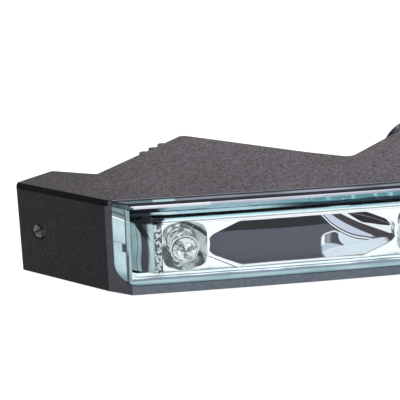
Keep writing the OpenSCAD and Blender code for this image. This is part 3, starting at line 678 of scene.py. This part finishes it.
# The cover's lower rim and inner walls have a painted glow.
RIM_PALE = painted_rim("Rim, pale teal, painted glow", (250, 400, 440), (420, 580, 620), 0.25)
RIM_INNER = painted_rim("Rim, inner wall", (20, 30, 36), (50, 70, 80), 0.05)
MIRROR_FILM = rippled("Mirror film", (800, 830, 870), (880, 900, 930), (0.03, 0.07), 90, 0.05, Metallic=1)
# The reflector's top and bottom edges: a painted glow, with painted shade towards the ends.
EDGE_FILM = painted_rim("Moulding edge, painted glow and shade", (450, 800, 900), (620, 930, 1000), 0.7, zones=[(87.8, 110, (10, 14, 18))])
# The thread's metal is darkened as painted shade inside the bore.
SHADED_THREAD_METAL = rippled("Cut thread metal, painted shade", (100, 100, 105), (300, 300, 310), (0.2, 0.35), 1500, 0.2, Metallic=1)
# Painted highlight with a painted glow round each optic.
OPTIC_RIM = painted_rim("Optic rim, painted highlight", (600, 640, 660), (900, 920, 930), 0.35)
GLAND_BLACK = grained("Glossy black nylon", (5, 6, 10), (12, 14, 22), (0.25, 0.4), 700, 0.12, shine=0.18)
FLOOR_PAPER = grained(
    "Pale floor", (100, 100, 100), (130, 130, 130), (0.7, 0.8), 30, 0, shine=0, Emission_Color=(1, 1, 1, 1),
    Emission_Strength=0.95)


# Housing

def dress_housing():
    """The CAD housing's own mesh, merged and flattened into whole faces, with small rounded edges."""
    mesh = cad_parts["housing"].data.copy()
    mesh.name = "housing_body"
    shape = bmesh.new()
    shape.from_mesh(mesh)
    bmesh.ops.remove_doubles(shape, verts=shape.verts, dist=1e-6)
    bmesh.ops.dissolve_limit(shape, angle_limit=math.radians(0.5), verts=shape.verts, edges=shape.edges)
    shape.to_mesh(mesh)
    shape.free()
    normal, behind, middle = faces_of(mesh)
    reach, high = np.abs(middle[:, 0]), middle[:, 2]
    front = (normal[:, 1] < -0.78) & ((behind < 0.3) | (high < COVER_LOW))
    end = (normal[:, 1] < -0.5) & (reach > HALF_W)
    bevel = (np.abs(normal[:, 2] - math.sqrt(0.5)) < 0.05) & (reach > HALF_W) & (high > COVER_HIGH - 1)
    seat = (behind > 0.3) & (middle[:, 1] < SEAT_BACK) & (reach < SEAT_END_X)
    seat &= (high > SEAT_Z[0]) & (high < SEAT_Z[1])
    seat_floor = seat & (normal[:, 2] > 0.9) & (high < COVER_LOW + 0.3)
    # Painted light on the front lip, the seat floor and the facets' fronts; painted shade on the ends, the bevels and
    # inside the seat.
    paint_faces(
        mesh, HOUSING_COAT, (front, LIT_LIP_COAT), (front & (reach > CORNER_X) & (high > COVER_LOW), LIT_SIDE_COAT),
        (end, SHADED_END_COAT), (bevel, SHADED_BEVEL_COAT), (seat, SEAT_SHADE), (seat_floor, LIT_LIP_COAT))
    mesh.shade_smooth()
    mesh.set_sharp_from_angle(angle=math.radians(25))
    piece = into_scene("housing_body", mesh)
    edges = piece.modifiers.new("Rounded edges", "BEVEL")
    edges.limit_method = "ANGLE"
    edges.angle_limit = math.radians(35)
    edges.width = 0.35 * MM
    edges.segments = 2
    edges.harden_normals = True
    seat_piece(piece, "housing_black", "housing")


def thread_turns(side):
    """The M4 thread of an angled end: a radius that falls and rises once a turn, wound down the bore."""
    run = np.array([-END_REACH, END_DEPTH]) / math.hypot(END_REACH, END_DEPTH)
    inward = np.array([run[1], -run[0]])
    mouth = np.array([-HALF_W, 0]) + THREAD_ALONG * run
    turn = np.linspace(0, TURN, 48, endpoint=False)[None, :]
    depth = np.linspace(0.15, 9, 150)[:, None]
    phase = (depth / THREAD_PITCH - turn / TURN) % 1
    radius = THREAD_R - THREAD_RIDGE * (1 - np.abs(2 * phase - 1))
    across = radius * np.cos(turn)
    x = side * (mouth[0] + inward[0] * depth + run[0] * across)
    y = mouth[1] + inward[1] * depth + run[1] * across
    wall = Patch(points_of(x, y, MIDDLE_Z + radius * np.sin(turn)), loop=True, flip=side > 0)
    name = "end_thread_left" if side > 0 else "end_thread_right"
    seat_piece(build_piece(name, [wall], [SHADED_THREAD_METAL], closed=False, sharp=80), "screw_steel")


# Cover and seal

def frame_loop(end_x, low, high, corner_r, top_r=0.6):
    """Front view of the cover: along the bottom with large corners, then back along the top."""
    angle = np.radians(np.linspace(0, 90, 11))
    start = -end_x + corner_r * (1 - np.cos(angle))
    rise = corner_r * (1 - np.sin(angle))
    inside = np.linspace(start[-1], -start[-1], 150)[1:-1]
    x = np.concatenate([start, inside, -start[::-1]])
    lift = np.concatenate([rise, 0 * inside, rise[::-1]])
    past = np.clip(np.abs(x) - (end_x - top_r), 0, top_r)
    fall = top_r - np.sqrt(top_r ** 2 - past ** 2)
    return np.concatenate([x, x[::-1]]), np.concatenate([low + lift, (high - fall)[::-1]])


def cover_rings():
    """Rings from the cover's front over its rounded edge to the back rim, and in again to the inner front."""
    rings = []
    for turn in np.radians(np.linspace(0, 90, 8)):
        inset = COVER_EDGE_R * (1 - math.sin(turn))
        back = COVER_EDGE_R * (1 - math.cos(turn))
        x, z = frame_loop(COVER_END_X - END_EDGE * inset, RIM_LOW + LOW_EDGE * inset, COVER_HIGH - inset,
                          COVER_CORNER_R - inset, 0.5)
        near_end = np.clip((np.abs(x) - (COVER_END_X - 2.5)) / 2.5, 0, 1)
        rings.append(points_of(x, front_y(x) + back * (1 - (1 - END_EDGE) * near_end), z))
    x, z = frame_loop(COVER_END_X, RIM_LOW, COVER_HIGH, COVER_CORNER_R, 0.5)
    back = arc_y(x, COVER_DEPTH)
    rings += [points_of(x, np.minimum(rings[-1][:, 1] + RIM_LINE_W, back - 0.1), z), points_of(x, back, z)]
    x, z = frame_loop(HOLLOW_END_X, HOLLOW_LOW, HOLLOW_HIGH, HOLLOW_CORNER_R)
    rings += [points_of(x, arc_y(x, COVER_DEPTH), z), points_of(x, front_y(x, COVER_WALL), z)]
    return np.stack(rings)


def pane(ring, rows=6):
    """Fills a ring between its lower and upper half, along straight lines."""
    half = len(ring) // 2
    low, high = ring[:half], ring[half:][::-1]
    share = np.linspace(0, 1, rows)[:, None, None]
    return low[None] * (1 - share) + high[None] * share


def dress_cover():
    """The clear cover: its rings and two panes, the rim's faces told apart by height, reach and lean."""
    rings = cover_rings()
    patches = [Patch(rings, loop=True), Patch(pane(rings[0])), Patch(pane(rings[-1]))]
    piece = build_piece("front_cover", patches, [], sharp=28)
    normal, behind, middle = faces_of(piece.data)
    high, reach = middle[:, 2], np.abs(middle[:, 0])
    outside = (behind < COVER_EDGE_R + 0.05) & (normal[:, 1] < 0)
    crest = (normal[:, 2] > 0.12) & outside & (high > COVER_HIGH - COVER_EDGE_R)
    line = (normal[:, 2] > 0.8) & (high > COVER_HIGH - 0.35) & (behind < COVER_EDGE_R + RIM_LINE_W)
    inner = (reach > HOLLOW_END_X - 1) & (reach < HOLLOW_END_X + 0.2)
    inner &= (np.abs(normal[:, 0]) > 0.8) & (behind > COVER_WALL)
    # The rim's faces take painted glow, highlight, shade and reflection by where they lie; the shadow line is painted
    # shade.
    paint_faces(
        piece.data, COVER_CLEAR,
        (outside & (high < HOLLOW_LOW - 0.1), RIM_PALE), (outside & (reach > CORNER_X + 0.05), RIM_END),
        (crest, RIM_HIGHLIGHT), (crest & (reach > CORNER_X - 1), RIM_SHADED),
        ((normal[:, 2] > 0.9) & (high > COVER_HIGH - 0.2), RIM_TOP), (line, RIM_LINE), (inner, RIM_INNER))
    seat_piece(piece, "clear_cover", "lens")


def dress_seal():
    """A band behind the cover's rim: the rim's outer and inner outline at two depths."""
    outer = frame_loop(COVER_END_X, COVER_LOW, SEAL_HIGH, COVER_CORNER_R)
    inner = frame_loop(HOLLOW_END_X, HOLLOW_LOW, SEAL_DROP, HOLLOW_CORNER_R)
    rings = np.stack([points_of(x, arc_y(x, COVER_DEPTH + back), z)
                      for (x, z), back in ((outer, 0), (outer, SEAL_T), (inner, SEAL_T), (inner, 0))])
    piece = build_piece("cover_seal", [Patch(rings, tube=True, loop=True)], [SEAL_GEL])
    seat_piece(piece, "seal_teal", "lens_seal")


# Reflector: its materials by number, and its patches

REFLECTOR_FILMS = [face_film(), MIRROR_FILM, pocket_reflections(), window_reflections(), wing_reflections(), bead_glints(), EDGE_FILM,
                   window_side_reflections()]
FACE, MIRROR, POCKET, WINDOW, WING, BEADS, EDGE, WINDOW_SIDE = range(len(REFLECTOR_FILMS))


def rounded_outline(corners, steps=7):
    """A closed outline from (x, z, radius) corners, each turned by an arc between its two tangent points."""
    corners = np.asarray(corners, float)
    corner, radius = corners[:, :2], corners[:, 2]
    sides = [np.roll(corner, step, 0) - corner for step in (1, -1)]
    p, q = (side / np.linalg.norm(side, axis=1, keepdims=True) for side in sides)
    half = np.arccos(np.clip((p * q).sum(1), -1, 1)) / 2
    bisector = (p + q) / np.linalg.norm(p + q, axis=1, keepdims=True)
    centre = corner + bisector * (radius / np.sin(half))[:, None]
    ends = [corner + side * (radius / np.tan(half))[:, None] - centre for side in (p, q)]
    first, last = (np.arctan2(end[:, 1], end[:, 0]) for end in ends)
    sweep = (last - first + np.pi) % TURN - np.pi
    angle = first[:, None] + sweep[:, None] * np.linspace(0, 1, steps)[None, :]
    arcs = centre[:, None, :] + radius[:, None, None] * np.stack([np.cos(angle), np.sin(angle)], -1)
    return arcs.reshape(-1, 2)


def window_loop(length):
    """A long window's outline: stations bunched at both ends, along the bottom and back along the top.

    The height at each station is read from the upper half of an outline with rounded corners.
    """
    half = length / 2
    low = [(-half, -WINDOW_END_H / 2, WINDOW_TIP_R), (WINDOW_TAPER - half, -WINDOW_H / 2, WINDOW_R)]
    low += [(-x, z, r) for x, z, r in low[::-1]]
    outline = rounded_outline(low + [(x, -z, r) for x, z, r in low[::-1]])
    upper = outline[outline[:, 1] > 0]
    upper = upper[np.argsort(upper[:, 0])]
    x = -np.cos(np.linspace(0, np.pi, 90)) * half
    z = np.interp(x, upper[:, 0], upper[:, 1])
    return np.concatenate([x, x[::-1]]), np.concatenate([-z, z[::-1]])


def pocket_loop():
    """A pocket's outline by even steps of angle about the light, as the distance along each ray."""
    w, h = POCKET_W / 2, POCKET_H / 2
    outline = rounded_outline([(-w, -h, POCKET_R), (w, -h, POCKET_R), (w, h, POCKET_R), (-w, h, POCKET_R)], 12)
    outline[:, 1] += LIGHT_DROP
    seen = np.arctan2(outline[:, 1], outline[:, 0])
    order = np.argsort(seen)
    angle = np.linspace(-np.pi, np.pi, 112, endpoint=False)
    return angle, np.interp(angle, seen[order], np.hypot(*outline[order].T), period=TURN)


def face_rings(x, z, middle_x, width, rim=0.18):
    """The face between a cell's border and its opening, rounded over into the opening by the rim's radius.

    The opening's points go outwards along their rays to the border, in a frame where the cell is a square,
    and the four nearest points take its corners.
    """
    middle = np.array([middle_x, (FACE_LOW + FACE_HIGH) / 2])
    half = np.array([width + WEB, FACE_HIGH - FACE_LOW]) / 2
    opening = np.stack([x, z], -1)
    ray = (opening - middle) / half
    ray /= np.abs(ray).max(-1, keepdims=True)
    for corner in ((-1, -1), (1, -1), (1, 1), (-1, 1)):
        ray[np.argmin(np.linalg.norm(ray - corner, axis=1))] = corner
    border = middle + ray * half
    reach = np.maximum(np.linalg.norm(border - opening, axis=1), 1e-6)
    rim_here = np.minimum(rim, 0.8 * reach)
    rows = [points_of(border[:, 0], arc_y(border[:, 0], FACE_SET), border[:, 1])]
    for turn in np.radians(np.linspace(0, 90, 5)):
        out = rim_here * (1 - math.sin(turn)) / reach
        rx, rz = (opening + (border - opening) * out[:, None]).T
        rows.append(points_of(rx, arc_y(rx, FACE_SET) + rim_here * (1 - math.cos(turn)), rz))
    return np.stack(rows)


def side_wall(x, z, face, floor_y, rows):
    """Straight walls from the inner edge of a face's rings down to a depth at each point."""
    return np.stack([points_of(x, face[-1][:, 1] * (1 - s) + floor_y * s, z) for s in np.linspace(0, 1, rows)])


def pocket_patches(light_x):
    """One lamp pocket: straight walls down to where a cone from the light cuts them, then the cone."""
    angle, reach = pocket_loop()
    x, z = light_x + reach * np.cos(angle), LOW_Z + reach * np.sin(angle)
    face = face_rings(x, z, light_x, POCKET_W)
    cone_from = float(arc_y(light_x, FACE_SET)) - 1
    spread = math.hypot(POCKET_W, POCKET_H) / 2 + LIGHT_DROP
    slope = (spread - POCKET_HOLE_R) / (BOARD_Y - cone_from)
    cut_y = BOARD_Y - (reach - POCKET_HOLE_R) / slope
    share = np.linspace(0, 1, 12)[:, None]
    radius = reach[None] * (1 - share) + POCKET_HOLE_R * share
    depth = cut_y * (1 - share) + (BOARD_Y - 0.05) * share
    cone = points_of(light_x + radius * np.cos(angle), depth, LOW_Z + radius * np.sin(angle))
    return [Patch(face, FACE, loop=True), Patch(side_wall(x, z, face, cut_y, 5), POCKET, loop=True),
            Patch(cone, POCKET, loop=True)]


def mirror_y(x, local_x, length, both):
    """Depth of a long mirror: parallel to the arc, or a round bowl's circle where that lies deeper."""
    axis_x = length / 2 - BOWL_IN
    from_axis = np.minimum(np.abs((np.abs(local_x) if both else local_x) - axis_x), BOWL_R)
    bowl = BOWL_BACK_Y - BOWL_R + np.sqrt(BOWL_R ** 2 - from_axis ** 2)
    return np.maximum(arc_y(x, FACE_SET + MIRROR_DEEP), bowl)


def window_patches(first, both=False, mirrored=False):
    """The long window between a light and the next: its face, its side walls and the mirror at its bottom.

    The bowl is at its right end, at its left end when mirrored, or at both.
    """
    left, right = LIGHT_X[first], LIGHT_X[first + 1]
    middle_x, length = (left + right) / 2, (right - left) - POCKET_W - 2 * WEB
    local_x, local_z = window_loop(length)
    half = len(local_x) // 2
    x, z = middle_x + (-local_x if mirrored else local_x), WINDOW_Z + local_z
    face = face_rings(x, z, middle_x, length)
    floor_y = mirror_y(x, local_x, length, both)
    rise = np.linspace(-1, 1, 15)[:, None]
    mirror = points_of(x[:half], floor_y[:half], WINDOW_Z + rise * local_z[half:][::-1])
    film, side = (MIRROR, MIRROR) if both else (WINDOW, WINDOW_SIDE)
    return [Patch(face, FACE, loop=True, flip=mirrored),
            Patch(side_wall(x, z, face, floor_y, 6), side, loop=True, flip=mirrored),
            Patch(mirror, film, flip=mirrored)]


def beaded_strip(side):
    """The strip at a face's end: two staggered columns of round beads, raised from the arc."""
    x = np.linspace(-FACE_END_X, LIGHT_X[0] - POCKET_W / 2 - WEB / 2, 26)[None, :]
    z = np.linspace(FACE_LOW, FACE_HIGH, 220)[:, None]
    relief = 0
    for number, column in enumerate(BEAD_X):
        from_bead = (z - FACE_LOW + BEAD_PITCH * number / 2) % BEAD_PITCH - BEAD_PITCH / 2
        inside = np.clip(1 - ((x - column) ** 2 + from_bead ** 2) / BEAD_R ** 2, 0, 1)
        relief = relief + BEAD_RISE * np.sqrt(inside)
    return Patch(points_of(side * x, arc_y(x, FACE_SET) - relief, z), BEADS, flip=side < 0)


def wing(side):
    """The wing: a flat sheet that runs back and outwards from the face's end."""
    share = np.linspace(0, 1, 24)[None, :]
    z = np.linspace(FACE_LOW, FACE_HIGH + WING_OVER, 14)[:, None]
    x = FACE_END_X + (WING_END_X - FACE_END_X) * share
    y = float(arc_y(FACE_END_X, FACE_SET)) + WING_BACK * share
    return Patch(points_of(-side * x, y, z), WING, flip=side > 0)


def face_edges():
    """The face's upper and lower edge, running back by its thickness and following its plan."""
    x = np.linspace(-FACE_END_X, FACE_END_X, 180)[None, :]
    y = arc_y(x, FACE_SET) + np.linspace(0, FACE_T, 4)[:, None]
    return [Patch(points_of(x, y, z), EDGE, flip=z == FACE_HIGH) for z in (FACE_LOW, FACE_HIGH)]


def dress_reflector():
    """The bright moulding: four pockets, three long windows, and at each end a beaded strip and a wing."""
    patches = []
    for light_x in LIGHT_X:
        patches += pocket_patches(light_x)
    patches += window_patches(0) + window_patches(2, mirrored=True) + window_patches(1, both=True)
    for side in (1, -1):
        patches += [beaded_strip(side), wing(side)]
    patches += face_edges()
    piece = build_piece("reflector_moulding", patches, REFLECTOR_FILMS, closed=False, sharp=30)
    seat_piece(piece, "bright_mirror", "reflector")


# Optics

OPTIC_FILMS = [faceted_optic(), OPTIC_RIM]


def dress_dome(number, light_x):
    """A clear optic turned from its section: foot, collar and shallow dome, hollow over the light."""
    collar = BOARD_Y - float(arc_y(light_x, DOME_SET))
    ball = (DOME_R ** 2 + DOME_RISE ** 2) / (2 * DOME_RISE)
    reach = math.degrees(math.asin(DOME_R / ball))
    top = arc_points((0, collar + DOME_RISE - ball), ball, 90 - reach, 90, 16)
    hollow = arc_points((0, 0), DOME_HOLLOW_R, 0, 90, 14)[::-1]
    foot = [(DOME_FOOT_R, 0), (DOME_FOOT_R, DOME_FOOT_T - 0.2), (DOME_FOOT_R - 0.2, DOME_FOOT_T),
            (DOME_R + 0.15, DOME_FOOT_T), (DOME_R, DOME_FOOT_T + 0.15)]
    centre = (light_x, BOARD_Y, LOW_Z)
    body = turned(np.concatenate([hollow, foot, top]), centre, 72, -1)
    ring = turned(arc_points((DOME_R - 0.12, collar + 0.12), 0.17, 0, 324, 10), centre, 72, -1)
    rim = Patch(ring.points, 1, tube=True, loop=True)
    piece = build_piece("optic_%d" % number, [body, rim], OPTIC_FILMS, sharp=30)
    seat_piece(piece, "clear_dome", "dome_%d" % number)


# Cable gland

def hexagon(angle, height):
    """Share of the corner radius that a hexagon has at an angle, with corners turned off at both faces."""
    flat = np.cos(np.pi / 6) / np.cos((angle % (np.pi / 3)) - np.pi / 6)
    near_face = np.clip(1 - np.minimum(height, GLAND_HEX_T - height) / 0.9, 0, 1)
    return np.minimum(flat, 1 - 0.1 * near_face ** 1.2)


def ribbed(angle, height):
    """Round ribs along the nut that fade out where it rounds over."""
    fade = np.clip((NUT_L - NUT_ROUND - height) / 1.5, 0, 1) * np.clip((height - 0.4) / 0.8, 0, 1)
    return 1 - 0.035 * fade * (0.5 - 0.5 * np.cos(16 * angle)) ** 2


def dress_gland():
    """The gland's hexagon with a stub, and its nut: turned, with flats or ribs that scale the radius."""
    middle = (0, TIP_Y + WASHER_T, MIDDLE_Z)
    corner_r = GLAND_FLATS / 2 / math.cos(math.pi / 6)
    heights = np.concatenate([np.linspace(0, 1, 8), np.linspace(1.2, GLAND_HEX_T - 1.2, 4),
                              np.linspace(GLAND_HEX_T - 1, GLAND_HEX_T, 8)])
    side = np.stack([np.full_like(heights, corner_r), heights], -1)
    body = turned(np.concatenate([[(STUB_R, 0)], side, [(STUB_R, GLAND_HEX_T)]]), middle, 144, flutes=hexagon)
    stub = turned([(STUB_R, GLAND_HEX_T), (STUB_R, GLAND_HEX_T + 0.5)], middle, 144)
    piece = build_piece("gland_hexagon", [body, stub], [GLAND_BLACK], closed=False)
    seat_piece(piece, "gland_black", "gland_body")

    foot = (0, TIP_Y + WASHER_T + GLAND_HEX_T, MIDDLE_Z)
    skirt = np.stack([np.full(16, NUT_R), np.linspace(0.3, NUT_L - NUT_ROUND - 0.1, 16)], -1)
    rounded = arc_points((NUT_R - NUT_ROUND, NUT_L - NUT_ROUND), NUT_ROUND, 0, 90, 14)
    hole = [(3.2, NUT_L), (3, NUT_L - 0.2), (3, 6.5), (NUT_HOLE_R, 6.5), (NUT_HOLE_R, 0)]
    profile = np.concatenate([[(NUT_HOLE_R, 0), (NUT_R - 0.3, 0)], skirt, rounded, hole])
    piece = build_piece("gland_dome_nut", [turned(profile, foot, 192, flutes=ribbed)], [GLAND_BLACK], sharp=32)
    seat_piece(piece, "gland_black", "gland_nut")


# CAD nodes that keep their own shape

KEPT = {
    "light_board": grained("White board mask", (620, 640, 630), (740, 750, 740), (0.4, 0.5), 1200, 0.1),
    "thermal_pad": grained("Grey thermal pad", (320, 350, 380), (420, 450, 480), (0.7, 0.85), 1100),
    "board_screws driver_screws":
        rippled("Plain steel", (500, 500, 520), (660, 660, 680), (0.22, 0.38), 900, Metallic=1),
    "light_chip_1 light_chip_2 light_chip_3 light_chip_4":
        grained("Pale phosphor", (340, 360, 330), (500, 520, 470), (0.4, 0.55), 4200),
    "driver_board": grained("Green board mask", (10, 110, 50), (30, 190, 90), (0.35, 0.5), 1500),
    "inductor": grained("Dull ferrite", (30, 30, 34), (70, 70, 75), (0.55, 0.7), 2500),
    "capacitor": rippled("Drawn can", (500, 510, 530), (680, 690, 710), (0.22, 0.35), 700, Metallic=1),
    "driver_chip link_header": grained("Moulded black", (12, 12, 13), (35, 35, 37), (0.45, 0.6), 3000),
    "terminal_block": grained("Moulded green", (10, 120, 40), (30, 200, 80), (0.4, 0.55), 1400),
    "gland_washer gland_seal": grained("Black rubber", (12, 12, 12), (30, 30, 30), (0.6, 0.8), 1300),
}


def finish_kept_nodes():
    """Gives each CAD node that stays in view its procedural finish."""
    for names, material in KEPT.items():
        for name in names.split():
            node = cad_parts[name]
            node.data.materials.clear()
            node.data.materials.append(material)


# Floor, light and camera

def lay_floor():
    """A wide flat sheet under the lamp."""
    side = np.linspace(-12000, 12000, 9)
    x, y = np.meshgrid(side, side, indexing="ij")
    floor = build_piece("floor", [Patch(points_of(x, y + MIDDLE_Y, -0.02), flip=True)], [FLOOR_PAPER], closed=False)


def light_studio():
    """A sky that is pale overhead and dark at the horizon, and one wide soft light."""
    world = bpy.data.worlds.new("Studio")
    bpy.context.scene.world = world
    world.use_nodes = True
    sky = world.node_tree.nodes["Background"]
    direction = add_node(world.node_tree, "ShaderNodeTexCoord").outputs["Generated"]
    height = Value(add_node(world.node_tree, "ShaderNodeSeparateXYZ", {0: direction}).outputs["Z"])
    feed(sky.inputs["Color"], blend(height.fade(0.05, 0.8), (60, 65, 75), (950, 950, 1000)))
    sky.inputs["Strength"].default_value = 1

    data = bpy.data.lights.new("Overhead", "AREA")
    data.shape = "RECTANGLE"
    data.size, data.size_y = 1.2, 0.8
    data.energy = 24
    data.color = (1, 0.98, 0.99)
    lamp = into_scene("Overhead", data)
    lamp.location = (0.1, 0.4, 0.9)
    lamp.rotation_euler = lamp.location.to_track_quat("Z", "Y").to_euler()


def place_camera():
    """The photograph's view: position, turn, tilt and roll from the lamp's own edges."""
    data = bpy.data.cameras.new("Camera")
    data.sensor_width = 36
    data.lens = 36 * 1086 / 400
    data.clip_start, data.clip_end = 0.01, 20
    camera = into_scene("Camera", data)
    camera.matrix_world = Matrix.Translation((-0.1227, -0.2777, 0.1116))
    for degrees, axis in ((-9.94, "Z"), (90 - 19.28, "X"), (-1.43, "Z")):
        camera.matrix_world = camera.matrix_world @ Matrix.Rotation(math.radians(degrees), 4, axis)
    bpy.context.scene.camera = camera


place_camera()
dress_housing()
for end in (1, -1):
    thread_turns(end)
dress_cover()
dress_seal()
dress_reflector()
for index, spot in enumerate(LIGHT_X):
    dress_dome(index + 1, spot)
dress_gland()
finish_kept_nodes()
lay_floor()
light_studio()
bpy.context.scene.view_settings.view_transform = "Standard"
